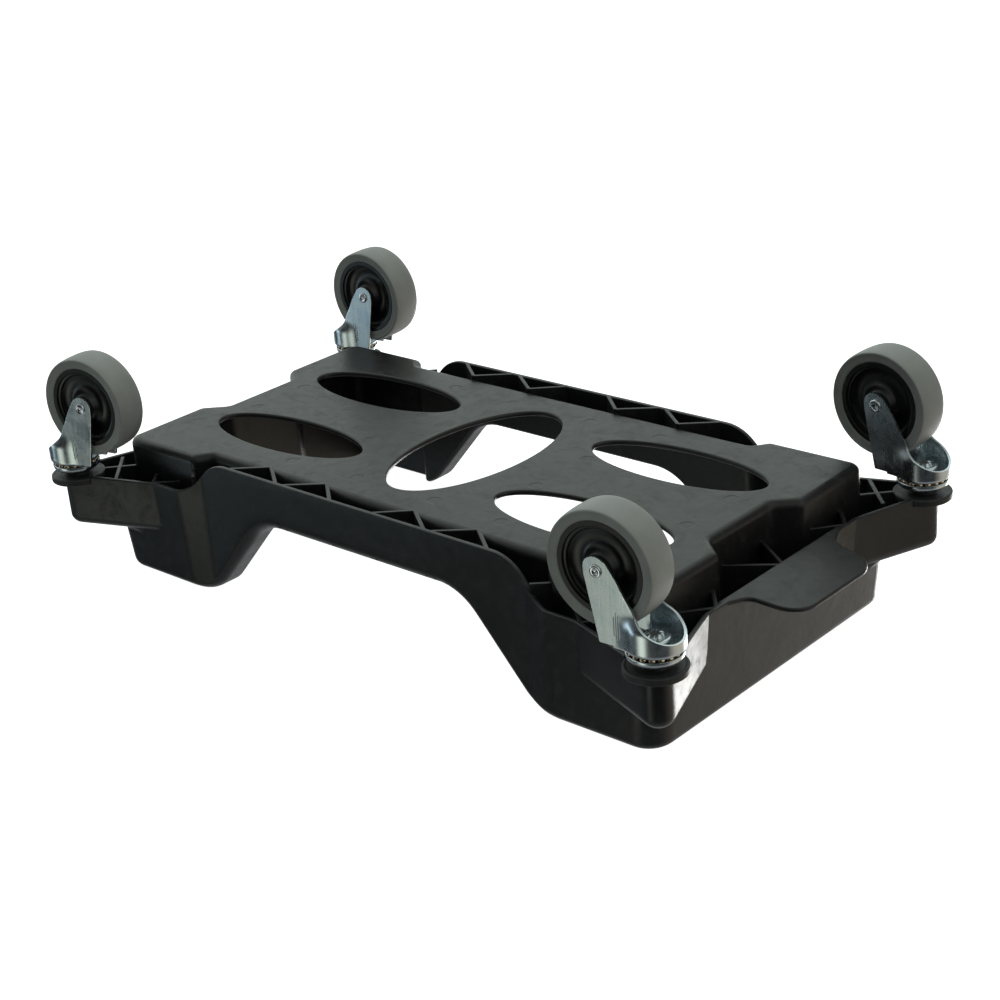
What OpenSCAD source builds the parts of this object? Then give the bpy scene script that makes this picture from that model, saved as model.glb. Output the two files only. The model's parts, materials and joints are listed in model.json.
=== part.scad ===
// Moulded castered platform: a deep tray with four corner towers on four swivel casters.
// Frame: z = 0 is the ground, +Z up, X along the length (the pull tongue is at +X), Y across.
// The origin lies on the ground under the middle of the platform. Millimetres.

/* [Wheels] */
// Outer diameter of the tread
wheel_d = 101.6; // [98:0.2:104]
// Width of the tread
tread_w = 31.8; // [28:0.2:33]
// Diameter of the hub inside the tread
hub_d = 80.6; // [74:0.2:84]

/* [Casters] */
// Distance between the stems along the length
stem_pitch_x = 740; // [734:1:748]
// Distance between the stems across the width
stem_pitch_y = 401; // [396:1:406]
// How far the axle trails behind the stem
trail = 38.5; // [36:0.5:41]
// Diameter of the stem
stem_d = 11.1; // [10:0.1:12]
// Inside gap between the fork's legs
fork_gap = 34.2; // [33.8:0.1:36]
// Sheet thickness of the fork's legs
fork_t = 2.5; // [2:0.1:3]
// Outside radius of the fork's crown
crown_r = 24.4; // [24:0.1:26]
// Radius of the bumper ring
bumper_r = 27.3; // [26:0.1:28]
// Rest direction of the front left wheel, from its stem, in degrees
yaw_front_left = 175.6; // [170:0.1:190]
// Rest direction of the front right wheel
yaw_front_right = 183.4; // [170:0.1:190]
// Rest direction of the rear left wheel
yaw_rear_left = -9.4; // [-15:0.1:15]
// Rest direction of the rear right wheel
yaw_rear_right = -0.9; // [-15:0.1:15]

/* [Platform] */
// Total height
total_h = 237.5; // [230:0.5:245]
// Height of the tray floor's underside
floor_z = 98.6; // [97:0.2:100]
// Thickness of the skirt, the tray wall and the tray floor
wall = 5; // [4:0.5:6]
// Thickness of the ribs between tray and skirt
rib_t = 3.8; // [3:0.2:5]
// Half length of the skirt at its lower rim
skirt_x = 356; // [354:1:358]
// Half width of the skirt round the towers, at its lower rim
skirt_y = 182; // [180:1:184]
// Half width of the skirt along the side bands
band_y = 172.5; // [171:0.5:174]
// Height of the lower rim round the towers and the ends
rim_z = 129.6; // [128:0.2:131]
// Height of the lower rim along the side bands
band_rim_z = 94.3; // [93:0.1:96]
// Height of the top of the side bands
band_top_z = 145.6; // [140:0.2:150]
// Height of the top of the corner blocks that carry the casters
block_top_z = 185.6; // [180:0.2:190]

/* [Tray] */
// Half length of the tray, outside its end lobes
lobe_x = 333; // [331:1:335]
// Half width of the tray, outside its end lobes
lobe_y = 163; // [161:1:164]
// Half length of the tray in the notch between the lobes
notch_x = 311; // [308:1:316]
// Half width of the tray along the side bands
waist_y = 147; // [145:1:149]
// Half axes of the middle hole, along and across
middle_hole = [57.6, 109]; // [50:0.2:112]
// Half axes of the four side holes, along and across
side_hole = [97.7, 35.4]; // [30:0.2:100]
// Centre of a side hole, from the middle
side_hole_at = [189.3, 70.1]; // [68:0.2:192]

/* [Pull tongue] */
// How far the tongue stands out from the skirt
tongue_reach = 57; // [45:1:60]
// Half width of the tongue
tongue_half_w = 60; // [50:1:64]
// Slope of the tongue, in degrees
tongue_slope = 7.4; // [0:0.1:9]

/* [Hidden] */
$fn = 96;
wheel_r = wheel_d / 2;
hub_r = hub_d / 2;
axle_z = wheel_r;
stem_r = stem_d / 2;
stem_at = [stem_pitch_x / 2, stem_pitch_y / 2];
leg_in = fork_gap / 2;
leg_out = leg_in + fork_t;

// Heights up the swivel bearing, from the ground
crown_low_z = 112.4;
crown_plate_t = 2.6;
crown_high_z = 119.6;
outer_ball_r = 3.15;
outer_ball_ring_r = 19.4;
outer_ball_n = 17;
outer_ball_z = crown_low_z + crown_plate_t + outer_ball_r + 0.1;
race_r = 23.2;
neck_z = 126.2;
neck_r = 13;
disc_z = 130.6;
disc_top_z = 137.1;
inner_ball_r = 2;
inner_ball_ring_r = 9.8;
inner_ball_n = 12;
inner_ball_z = crown_low_z - inner_ball_r - 0.1;
cup_z = 105.8;
cup_r = 12.6;
kingpin_z = 103.6;
crown_hole_r = 7;
socket_end_z = 174;
stem_top_z = 172;
grip_z = 160;
grip_h = 5;
grip_groove_r = 4.3;
column_r = 14.2;

// Wheel and axle
axle_r = 4;
axle_head_r = 5.2;
axle_head_t = 1.8;
bushing_r = 6.3;
run_gap = 0.06;
hub_boss_half = 16.4;
tread_round = 2.6;
tread_crown = 1.3;
leg_head_r = 12;

// Platform
block_side_x = 272;
block_end_y = 111;
tower_corner_r = 25;
side_lean = 2.74;
end_lean = 5.46;
arch_x = 103;
arch_angle = 48;
arch_r1 = 56;
arch_r2 = 45;
rim_step_x = 172;
rim_step_angle = 45;
rim_step_r1 = 40;
rim_step_r2 = 45;
arc_steps = 8;

// The origin is under the middle of the whole object, which the tongue makes longer at one end
tongue_end_x = skirt_x - 3 + tongue_reach * cos(tongue_slope);
mid_x = (tongue_end_x - stem_at[0] - bumper_r) / 2;

PARTS = ["stem", "grip_ring", "bumper", "lower_race", "outer_balls", "inner_balls", "inner_race",
         "fork", "axle", "bushing", "hub", "tread"];
// Corner name, side along X, side along Y, rest direction of the wheel
CORNERS = [
    ["front_left", 1, 1, yaw_front_left],
    ["front_right", 1, -1, yaw_front_right],
    ["rear_left", -1, 1, yaw_rear_left],
    ["rear_right", -1, -1, yaw_rear_right]
];

// ---- Outline helpers ----

// Points of an arc about c, from angle a0 to a1
function arc(c, r, a0, a1, n = arc_steps) =
    [for (i = [0 : n]) c + r * [cos(a0 + (a1 - a0) * i / n), sin(a0 + (a1 - a0) * i / n)]];

function unit(v) = v / norm(v);

// One corner at q between p and s, rounded with radius r
function corner(p, q, s, r) =
    let (u = unit(p - q), v = unit(s - q), half = acos(u * v) / 2, back = r / tan(half),
         c = q + unit(u + v) * r / sin(half), a = q + u * back, b = q + v * back,
         a0 = atan2(a[1] - c[1], a[0] - c[0]), a1 = atan2(b[1] - c[1], b[0] - c[0]),
         turn = a1 - a0 > 180 ? a1 - a0 - 360 : a1 - a0 < -180 ? a1 - a0 + 360 : a1 - a0)
    arc(c, r, a0, a0 + turn, 5);

// A closed outline from corners [x, y, radius]
function rounded(k) =
    let (n = len(k), at = [for (q = k) [q[0], q[1]]])
    [for (i = [0 : n - 1])
        each (k[i][2] == 0 ? [at[i]] : corner(at[(i + n - 1) % n], at[i], at[(i + 1) % n], k[i][2]))];

function turned(list) = [for (i = [len(list) - 1 : -1 : 0]) list[i]];

// The whole outline from the corners of its +X +Y quarter, listed from the Y axis round to the X axis
function four_fold(q) = concat(
    q,
    turned([for (k = q) [k[0], -k[1], k[2]]]),
    [for (k = q) [-k[0], -k[1], k[2]]],
    turned([for (k = q) [-k[0], k[1], k[2]]]));

// Two arcs joined by a straight slope, rising from start by rise
function s_curve(start, rise, r1, r2, a) =
    let (rise1 = r1 * (1 - cos(a)), rise2 = r2 * (1 - cos(a)),
         run = r1 * sin(a) + (rise - rise1 - rise2) / tan(a) + r2 * sin(a))
    concat(
        arc(start + [0, r1], r1, -90, a - 90),
        arc(start + [run, rise - r2], r2, 90 + a, 90));

module mirror_copies() {
    for (sx = [0, 1]) for (sy = [0, 1])
        mirror([sx, 0, 0]) mirror([0, sy, 0]) children();
}

// ---- Platform ----

// Tray outline, drawn in by d
function tray_outline(d) = rounded(four_fold([
    [217, waist_y - d, 8], [229, lobe_y - d, 8], [lobe_x - d, lobe_y - d, 14 - d / 2],
    [lobe_x - d, 63 - d / 2, 8], [notch_x - d, 44 - d / 2, 8]]));

// Skirt outline without the corner blocks, drawn in by d
function skirt_outline(d) = rounded(four_fold([
    [207, band_y - d, 20], [237, skirt_y - d, 20], [skirt_x - d, skirt_y - d, tower_corner_r - d]]));

// Outline of one corner block, drawn in by d: two flared sides that meet at the caster's column
function block_outline(d) =
    let (c = stem_at, r = column_r - d,
         p = [block_side_x, skirt_y - d],
         q = [skirt_x - d, block_end_y],
         vp = c - p, vq = c - q,
         ap = atan2(vp[1], vp[0]) + asin(r / norm(vp)), aq = atan2(vq[1], vq[0]) - asin(r / norm(vq)))
    concat([[block_side_x, 170 - d], p],
        arc(c, r, ap + 90, aq - 90, 12),
        [q, [skirt_x - 14 - d, block_end_y]]);

// Skirt volume with leaning walls, drawn in by d
module skirt_volume(d) {
    difference() {
        translate([0, 0, 60]) linear_extrude(total_h - 60 - d) polygon(skirt_outline(d));
        for (s = [0, 1]) {
            mirror([s, 0, 0]) translate([skirt_x - d, -300, rim_z]) rotate([0, -end_lean, 0])
                translate([0, 0, -20]) cube([60, 600, 200]);
            mirror([0, s, 0]) translate([-400, skirt_y - d, rim_z]) rotate([side_lean, 0, 0])
                translate([0, 0, -20]) cube([800, 60, 200]);
        }
    }
}

// The corner blocks, drawn in by d
module blocks_volume(d) {
    mirror_copies() translate([0, 0, 60]) linear_extrude(block_top_z - 60 - d) polygon(block_outline(d));
}

// Side view of the shell: arched top between the towers, stepped lower rim; cut_low opens the bottom
module side_view(d, cut_low) {
    low = cut_low ? 50 : band_rim_z;
    arch = s_curve([arch_x, band_top_z - d], total_h - band_top_z, arch_r1 + d, arch_r2 - d, arch_angle);
    rim = s_curve([rim_step_x, band_rim_z], rim_z - band_rim_z, rim_step_r1, rim_step_r2, rim_step_angle);
    top = concat(arch, [[420, total_h - d]]);
    bottom = cut_low ? [[420, low]] : concat([[420, rim_z]], turned(rim_flip(rim)));
    half = concat(top, bottom);
    translate([0, 300, 0]) rotate([90, 0, 0]) linear_extrude(600)
        polygon(concat(half, turned([for (k = half) [-k[0], k[1]]])));
}

// The rim steps up with its convex arc first, so the curve is turned about its middle
function rim_flip(c) =
    let (n = len(c), a = c[0], b = c[n - 1]) [for (i = [n - 1 : -1 : 0]) a + b - c[i]];

module bar(a, b, low, high) {
    v = b - a;
    translate([a[0], a[1], low]) rotate([0, 0, atan2(v[1], v[0])])
        translate([0, -rib_t / 2, 0]) cube([norm(v), rib_t, high - low]);
}

// Ribs between the tray and the skirt, in one quarter
module quarter_ribs() {
    for (v = [[27, 57, 92], [100, 134, 167]]) {
        bar([v[0], band_y - 3], [v[1], waist_y - 7], band_rim_z, band_top_z - 4.6);
        bar([v[2], band_y - 3], [v[1], waist_y - 7], band_rim_z, band_top_z - 4.6);
    }
    bar([276, skirt_y - 3], [254, lobe_y - 2], rim_z, 220);
    bar([276, skirt_y - 3], [292, lobe_y - 2], rim_z, 220);
    bar([skirt_x - 3, 97], [lobe_x - 2, 72], rim_z, 220);
    bar([skirt_x - 3, 97], [lobe_x - 2, 122], rim_z, 220);
    bar([lobe_x - 8, lobe_y - 8], stem_at - [9, 9], rim_z, block_top_z - 2);
    bar([316.5, 194.6], [365.6, 145], rim_z, block_top_z - 2);
    bar([217, 174], [231, 162], 112.5, 190);
    bar([skirt_x - 3, 0], [notch_x - 2, 30], rim_z, 220);
}

module tongue() {
    out = [[-4, 84, 0], [6, 80, 0], [16, tongue_half_w, 14], [tongue_reach, tongue_half_w, 22]];
    translate([skirt_x - 3, 0, rim_z]) rotate([0, -tongue_slope, 0]) linear_extrude(4.5)
        polygon(rounded(concat(out, turned([for (k = out) [k[0], -k[1], k[2]]]))));
}

module ellipse_hole(at, half) {
    points = [for (i = [0 : 71]) [at[0] + half[0] * cos(i * 5), at[1] + half[1] * sin(i * 5)]];
    translate([0, 0, floor_z - 1]) linear_extrude(wall + 2) polygon(points);
}

module platform() {
    color([0.09, 0.09, 0.1])
    difference() {
        union() {
            difference() {
                intersection() {
                    union() {
                        skirt_volume(0);
                        blocks_volume(0);
                    }
                    side_view(0, false);
                }
                difference() {
                    intersection() {
                        union() {
                            skirt_volume(wall);
                            blocks_volume(wall);
                        }
                        side_view(wall, true);
                    }
                    mirror_copies() translate([stem_at[0], stem_at[1], 60]) cylinder(h = 160, r = column_r);
                    intersection() {
                        mirror_copies() quarter_ribs();
                        side_view(1, false);
                    }
                }
            }
            intersection() {
                translate([0, 0, floor_z]) linear_extrude(total_h - floor_z) polygon(tray_outline(0));
                side_view(0, true);
            }
            tongue();
        }
        translate([0, 0, floor_z + wall]) linear_extrude(total_h) polygon(tray_outline(wall));
        ellipse_hole([0, 0], middle_hole);
        mirror_copies() ellipse_hole(side_hole_at, side_hole);
        mirror_copies() translate([stem_at[0], stem_at[1], 0]) {
            cylinder(h = disc_top_z, r = bumper_r + 0.3);
            cylinder(h = socket_end_z, r = stem_r);
        }
    }
}

// ---- Caster pieces: the stem's axis is Z, and the wheel trails along +X ----

module across(y, h, r) {
    translate([trail, y, axle_z]) rotate([-90, 0, 0]) cylinder(h = h, r = r);
}

module stem() {
    color("silver") difference() {
        translate([0, 0, kingpin_z]) cylinder(h = stem_top_z - kingpin_z, r = stem_r);
        translate([0, 0, grip_z]) difference() {
            cylinder(h = grip_h, r = stem_r + 1);
            cylinder(h = grip_h, r = grip_groove_r);
        }
    }
}

module grip_ring() {
    color("gray") translate([0, 0, grip_z + 0.2]) difference() {
        cylinder(h = grip_h - 0.4, r = stem_r - 0.03);
        translate([0, 0, -1]) cylinder(h = grip_h + 2, r = grip_groove_r + 0.03);
        translate([0, -0.8, -1]) cube([10, 1.6, grip_h + 2]);
    }
}

module bumper() {
    profile = concat(
        [[stem_r, neck_z], [neck_r, neck_z], [neck_r, 128.6]],
        arc([bumper_r - 2.4, disc_z + 2.4], 2.4, -90, 0, 5),
        arc([bumper_r - 1.5, disc_top_z - 1.5], 1.5, 0, 90, 4),
        [[stem_r, disc_top_z]]);
    color([0.12, 0.12, 0.13]) rotate_extrude() polygon(profile);
}

module lower_race() {
    color("silver") rotate_extrude() polygon(concat(
        [[stem_r, 122.4], [15.6, 122.4], [race_r - 0.8, 121.4], [race_r, 121.8]],
        arc([race_r - 4, 122.4], 4, 0, 60, 5),
        [[16, neck_z], [stem_r, neck_z]]));
}

module ball_ring(n, ring_r, r, z) {
    color("goldenrod") for (i = [0 : n - 1])
        rotate([0, 0, (i + 0.5) * 360 / n]) translate([ring_r, 0, z]) sphere(r = r, $fn = 32);
}

module inner_race() {
    color("silver") rotate_extrude() polygon([
        [stem_r, kingpin_z], [7.2, kingpin_z + 0.6], [7.6, cup_z], [cup_r - 1.6, cup_z],
        [cup_r, cup_z + 1.6], [cup_r, crown_low_z - 1.2], [cup_r - 0.7, crown_low_z - 1.2],
        [cup_r - 0.7, cup_z + 2.4], [stem_r, cup_z + 2.4]]);
}

// Side view of a leg, from its trailing edge round the head and down to the front lip
leg_side = concat(
    [[40, crown_low_z + 0.6], [39, crown_low_z - 14]],
    arc([trail, axle_z], leg_head_r, 4, -146, 12),
    [[20, 57], [14, 67.5], [8, 77], [3, 86], [-4, 93.6], [-13, 99.5], [-20, 103], [-28, 105]],
    [[-28, crown_low_z + 0.6]]);

module fork() {
    color("silver") difference() {
        union() {
            intersection() {
                linear_extrude(140) difference() {
                    union() {
                        translate([-5, 0]) circle(r = leg_out);
                        translate([-5, -leg_out]) square([70, 2 * leg_out]);
                    }
                    translate([-5, 0]) circle(r = leg_in);
                    translate([-5, -leg_in]) square([80, 2 * leg_in]);
                }
                translate([0, 40, 0]) rotate([90, 0, 0]) linear_extrude(80) polygon(leg_side);
            }
            translate([0, 0, crown_low_z]) cylinder(h = crown_plate_t, r = crown_r);
            translate([0, 0, crown_low_z]) difference() {
                cylinder(h = crown_high_z - crown_low_z, r = crown_r);
                cylinder(h = 20, r = outer_ball_ring_r + outer_ball_r + 0.3);
            }
        }
        translate([0, 0, 90]) cylinder(h = 40, r = crown_hole_r);
        across(-30, 60, axle_r + 0.05);
    }
}

module axle() {
    color("silver") difference() {
        union() {
            across(-leg_out - 0.2, 2 * leg_out + 0.4, axle_r);
            for (s = [-1, 1])
                across(s > 0 ? leg_out : -leg_out - axle_head_t, axle_head_t, axle_head_r);
        }
        across(-30, 60, 2.2);
    }
}

module bushing() {
    color("gray") difference() {
        across(-leg_in + 0.02, 2 * leg_in - 0.04, bushing_r);
        across(-30, 60, axle_r + 0.05);
    }
}

// Half section of the hub, from the bore out to the tread and back: [radius, distance from the middle]
hub_half = [[bushing_r + run_gap, hub_boss_half], [11.5, hub_boss_half], [14, 14.6], [16.5, 8.5], [20, 7],
            [31.5, 8.5], [35.2, 13], [36, 14.2], [hub_r, 14.8]];

module hub() {
    profile = concat(hub_half, turned([for (k = hub_half) [k[0], -k[1]]]));
    color([0.05, 0.05, 0.06]) translate([trail, 0, axle_z]) rotate([90, 0, 0])
        rotate_extrude() polygon(profile);
}

module tread() {
    edge_r = wheel_r - tread_crown - tread_round;
    half = concat([[hub_r, 14.8], [hub_r + 1.6, 15.6]],
        arc([edge_r, tread_w / 2 - tread_round], tread_round, 84, 12, 5),
        [[wheel_r - tread_crown / 4, tread_w / 4], [wheel_r, 1]]);
    profile = concat(half, turned([for (k = half) [k[0], -k[1]]]));
    color([0.55, 0.57, 0.57]) translate([trail, 0, axle_z]) rotate([90, 0, 0])
        rotate_extrude() polygon(profile);
}

module caster_piece(p) {
    if (p == "stem") stem();
    if (p == "grip_ring") grip_ring();
    if (p == "bumper") bumper();
    if (p == "lower_race") lower_race();
    if (p == "outer_balls") ball_ring(outer_ball_n, outer_ball_ring_r, outer_ball_r, outer_ball_z);
    if (p == "inner_balls") ball_ring(inner_ball_n, inner_ball_ring_r, inner_ball_r, inner_ball_z);
    if (p == "inner_race") inner_race();
    if (p == "fork") fork();
    if (p == "axle") axle();
    if (p == "bushing") bushing();
    if (p == "hub") hub();
    if (p == "tread") tread();
}

translate([-mid_x, 0, 0]) platform();
for (c = CORNERS) for (p = PARTS)
    translate([c[1] * stem_at[0] - mid_x, c[2] * stem_at[1], 0]) rotate([0, 0, c[3]]) caster_piece(p);
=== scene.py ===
"""Moulded castered platform: detailed meshes, materials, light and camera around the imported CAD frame."""

import json
import math

import bmesh
import bpy
import numpy as np
from mathutils import Matrix, Vector
from mathutils.geometry import delaunay_2d_cdt

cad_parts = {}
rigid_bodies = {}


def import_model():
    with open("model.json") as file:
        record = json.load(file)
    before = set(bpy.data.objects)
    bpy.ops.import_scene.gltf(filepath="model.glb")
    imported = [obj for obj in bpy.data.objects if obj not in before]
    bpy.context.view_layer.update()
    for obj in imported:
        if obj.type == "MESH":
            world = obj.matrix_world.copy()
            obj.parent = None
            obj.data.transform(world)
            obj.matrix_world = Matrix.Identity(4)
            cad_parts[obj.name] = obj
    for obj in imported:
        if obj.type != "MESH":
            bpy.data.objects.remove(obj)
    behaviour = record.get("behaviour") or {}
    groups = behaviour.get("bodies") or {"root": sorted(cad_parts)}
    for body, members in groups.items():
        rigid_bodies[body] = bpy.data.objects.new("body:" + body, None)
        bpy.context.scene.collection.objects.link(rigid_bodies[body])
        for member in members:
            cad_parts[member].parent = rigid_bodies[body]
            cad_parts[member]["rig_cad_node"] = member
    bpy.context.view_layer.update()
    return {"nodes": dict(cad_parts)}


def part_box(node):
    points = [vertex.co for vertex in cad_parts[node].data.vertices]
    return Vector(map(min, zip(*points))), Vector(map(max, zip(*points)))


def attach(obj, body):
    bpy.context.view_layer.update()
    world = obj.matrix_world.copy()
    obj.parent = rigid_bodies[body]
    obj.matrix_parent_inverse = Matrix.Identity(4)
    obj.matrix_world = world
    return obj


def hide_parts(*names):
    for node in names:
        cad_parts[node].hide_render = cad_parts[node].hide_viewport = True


for leftover in list(bpy.data.objects):
    bpy.data.objects.remove(leftover)
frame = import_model()

MM = 0.001
CORNERS = ["front_left", "front_right", "rear_left", "rear_right"]


# ---------------------------------------------------------------- sizes, in millimetres

# Caster stems stand at the bumpers' middles
STEMS = {}
for name in CORNERS:
    low, high = [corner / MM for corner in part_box("bumper_" + name)]
    STEMS[name] = (low + high) / 2
STEM_X = (STEMS["front_left"].x - STEMS["rear_left"].x) / 2
STEM_Y = STEMS["front_left"].y
MID_X = -(STEMS["front_left"].x + STEMS["rear_left"].x) / 2
BUMPER_R = (high.x - low.x) / 2
DISC_TOP_Z = high.z
TOTAL_H = (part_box("platform")[1] / MM).z

# Platform
WALL = 5.0
FLOOR_Z = 98.6
SKIRT_X, SKIRT_Y, BAND_Y = 356.0, 182.0, 172.5
RIM_Z, BAND_RIM_Z = 129.6, 94.3
BAND_TOP_Z, BLOCK_TOP_Z = 145.6, 185.6
SIDE_LEAN, END_LEAN = math.radians(2.74), math.radians(5.46)
SKIRT_CORNER_R, TRAY_CORNER_R = 25.0, 14.0
TURN_X, TURN_Y = SKIRT_X - SKIRT_CORNER_R, SKIRT_Y - SKIRT_CORNER_R
LOBE_X, LOBE_Y, NOTCH_X, WAIST_Y = 333.0, 163.0, 311.0, 147.0
NOTCH_TOP_Y, NOTCH_LOW_Y = 75, 32
BAND_END_X, TOWER_X = 207, 237
ARCH_X, ARCH_ANGLE, ARCH_R1, ARCH_R2 = 103.0, math.radians(48), 56.0, 45.0
STEP_X, STEP_ANGLE, STEP_R1, STEP_R2 = 172.0, math.radians(45), 45.0, 40.0
COLUMN_R = 14.2
SOCKET_END_Z = 174.0
STEM_R = 5.55


# ---------------------------------------------------------------- mesh helpers


def new_object(name, data):
    obj = bpy.data.objects.new(name, data)
    bpy.context.scene.collection.objects.link(obj)
    return obj


def mesh_from(name, verts, faces):
    """A mesh from points in millimetres."""
    mesh = bpy.data.meshes.new(name)
    mesh.from_pydata([tuple(v) for v in verts], [], faces)
    mesh.update()
    return mesh


def grid_faces(rows, cols, closed_cols=True, closed_rows=False, start=0):
    """Quads of a grid of rows by cols points listed row by row."""
    faces = []
    for r in range(rows if closed_rows else rows - 1):
        for c in range(cols if closed_cols else cols - 1):
            a = start + r * cols + c
            b = start + r * cols + (c + 1) % cols
            d = start + ((r + 1) % rows) * cols
            faces.append((a, b, d + (c + 1) % cols, d + c))
    return faces


def arc_points(centre, radius, a0, a1, n):
    """n + 1 points of an arc, angles in radians."""
    return [
        (centre[0] + radius * math.cos(a), centre[1] + radius * math.sin(a))
        for a in (a0 + (a1 - a0) * i / n for i in range(n + 1))
    ]


def off_side(radius, a):
    """How far a fillet of that radius stands off its side at angle a."""
    return radius * (1 - math.cos(a))


def off_end(radius, a):
    """How far the same fillet stands off its end."""
    return radius * (1 - math.sin(a))


def quarter_turn(n):
    """n + 1 angles from nothing to a right angle."""
    return [math.pi / 2 * k / n for k in range(n + 1)]


def level_circle(x, y, r, z, n=64):
    """A ring of points round (x, y) at height z."""
    return [(x + r * math.cos(a), y + r * math.sin(a), z) for a in (2 * math.pi * k / n for k in range(n))]


def smooth(t):
    t = min(1.0, max(0.0, t))
    return t * t * (3 - 2 * t)


def outline(corners, inset=0.0, n=8, closed=True):
    """An outline from corners (x, y, radius), listed counter-clockwise, drawn in by inset.
    An open one keeps its first and last point on the same ray."""
    pts = [Vector(c[:2]) for c in corners]
    count = len(pts)
    moved = []
    for i, p in enumerate(pts):
        a = pts[i - 1] if closed or i else None
        b = pts[(i + 1) % count] if closed or i < count - 1 else None
        lines = []
        for s, e in ((a, p), (p, b)):
            if s is None or e is None:
                continue
            d = (e - s).normalized()
            lines.append((s + Vector((-d.y, d.x)) * inset, d))
        if len(lines) == 1:
            s, d = lines[0]
            moved.append(s + d * (p - s).dot(d))
            continue
        (s0, d0), (s1, d1) = lines
        cross = d0.x * d1.y - d0.y * d1.x
        if abs(cross) < 1e-6:
            moved.append(s1)
            continue
        t = ((s1.x - s0.x) * d1.y - (s1.y - s0.y) * d1.x) / cross
        moved.append(s0 + d0 * t)
    out = []
    for i, q in enumerate(moved):
        radius = corners[i][2]
        if (not closed and i in (0, count - 1)) or radius == 0:
            out.append((q.x, q.y))
            continue
        u = (moved[i - 1] - q).normalized()
        v = (moved[(i + 1) % count] - q).normalized()
        turn_left = u.x * v.y - u.y * v.x < 0
        r = max(0.4, radius - inset if turn_left else radius + inset)
        half = u.angle(v) / 2
        centre = q + (u + v).normalized() * (r / math.sin(half))
        start = q + u * (r / math.tan(half)) - centre
        end = q + v * (r / math.tan(half)) - centre
        a0 = math.atan2(start.y, start.x)
        turn = (math.atan2(end.y, end.x) - a0 + math.pi) % (2 * math.pi) - math.pi
        out += arc_points(centre, r, a0, a0 + turn, n)
    return out


def recalc(mesh):
    bm = bmesh.new()
    bm.from_mesh(mesh)
    bmesh.ops.recalc_face_normals(bm, faces=bm.faces)
    bm.to_mesh(mesh)
    bm.free()


def boolean(obj, tool, operation):
    """Changes obj by tool, and removes tool."""
    mod = obj.modifiers.new("bool", "BOOLEAN")
    mod.solver = "MANIFOLD"
    mod.operation = operation
    mod.object = tool
    graph = bpy.context.evaluated_depsgraph_get()
    result = bpy.data.meshes.new_from_object(obj.evaluated_get(graph))
    obj.modifiers.remove(mod)
    old = obj.data
    obj.data = result
    bpy.data.meshes.remove(old)
    bpy.data.objects.remove(tool)


def stacked(name, rings):
    """A closed solid from rings with the same number of points, each [(x, y, z)], with flat ends."""
    count = len(rings[0])
    verts = [p for ring in rings for p in ring]
    faces = grid_faces(len(rings), count)
    faces.append(tuple(range(count)))
    faces.append(tuple(range(len(verts) - count, len(verts))))
    mesh = mesh_from(name, verts, faces)
    recalc(mesh)
    return new_object(name, mesh)


# ---------------------------------------------------------------- materials


class Material:
    """A node material on one Principled shader, with short calls for its noise, ramps and bumps."""

    def __init__(self, name, **sockets):
        self.mat = bpy.data.materials.new(name)
        self.mat.use_nodes = True
        self.nodes, self.links = self.mat.node_tree.nodes, self.mat.node_tree.links
        self.shader = self.nodes["Principled BSDF"]
        self.coord = self.nodes.new("ShaderNodeTexCoord").outputs["Object"]
        self.normal = None
        for socket, value in sockets.items():
            self.shader.inputs[socket.replace("_", " ")].default_value = value

    def node(self, kind, inputs=None, **settings):
        made = self.nodes.new("ShaderNode" + kind)
        for key, value in settings.items():
            setattr(made, key, value)
        for key, value in (inputs or {}).items():
            if isinstance(value, bpy.types.NodeSocket):
                self.links.new(value, made.inputs[key])
            else:
                made.inputs[key].default_value = value
        return made

    def stretched(self, x, y, z):
        return self.node("Mapping", {"Vector": self.coord, "Scale": (x, y, z)}).outputs[0]

    def noise(self, scale, detail=3.0, rough=0.55, distortion=0.0, vector=None):
        made = self.node("TexNoise", {
            "Vector": vector or self.coord, "Scale": scale, "Detail": detail, "Roughness": rough,
            "Distortion": distortion})
        return made.outputs["Fac"]

    def fade(self, value, low, high):
        """0 up to low, rising to 1 at high."""
        made = self.node("ValToRGB", {"Fac": value})
        for element, place, level in zip(made.color_ramp.elements, (low, high), (0.0, 1.0)):
            element.position = place
            element.color = (level, level, level, 1)
        return made.outputs["Color"]

    def math(self, operation, a, b=0.0, clamp=False):
        return self.node("Math", {0: a, 1: b}, operation=operation, use_clamp=clamp).outputs[0]

    def scaled(self, value, factor, offset):
        return self.math("ADD", self.math("MULTIPLY", value, factor), offset)

    def mix(self, factor, a, b):
        made = self.node("Mix", {"Factor": factor}, data_type="RGBA")
        for socket, value in ((made.inputs[6], a), (made.inputs[7], b)):
            if isinstance(value, bpy.types.NodeSocket):
                self.links.new(value, socket)
            else:
                socket.default_value = (*value, 1)
        return made.outputs[2]

    def bump(self, height, distance, strength=1.0):
        """Adds a bump of that many metres."""
        inputs = {"Height": height, "Distance": distance, "Strength": strength}
        if self.normal:
            inputs["Normal"] = self.normal
        self.normal = self.node("Bump", inputs).outputs["Normal"]

    def rounded_edges(self, radius):
        self.normal = self.node("Bevel", {"Radius": radius}, samples=6).outputs["Normal"]

    def done(self, colour=None, roughness=None):
        if colour is not None:
            self.links.new(colour, self.shader.inputs["Base Color"])
        if roughness is not None:
            self.links.new(roughness, self.shader.inputs["Roughness"])
        if self.normal:
            self.links.new(self.normal, self.shader.inputs["Normal"])
        return self.mat


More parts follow.
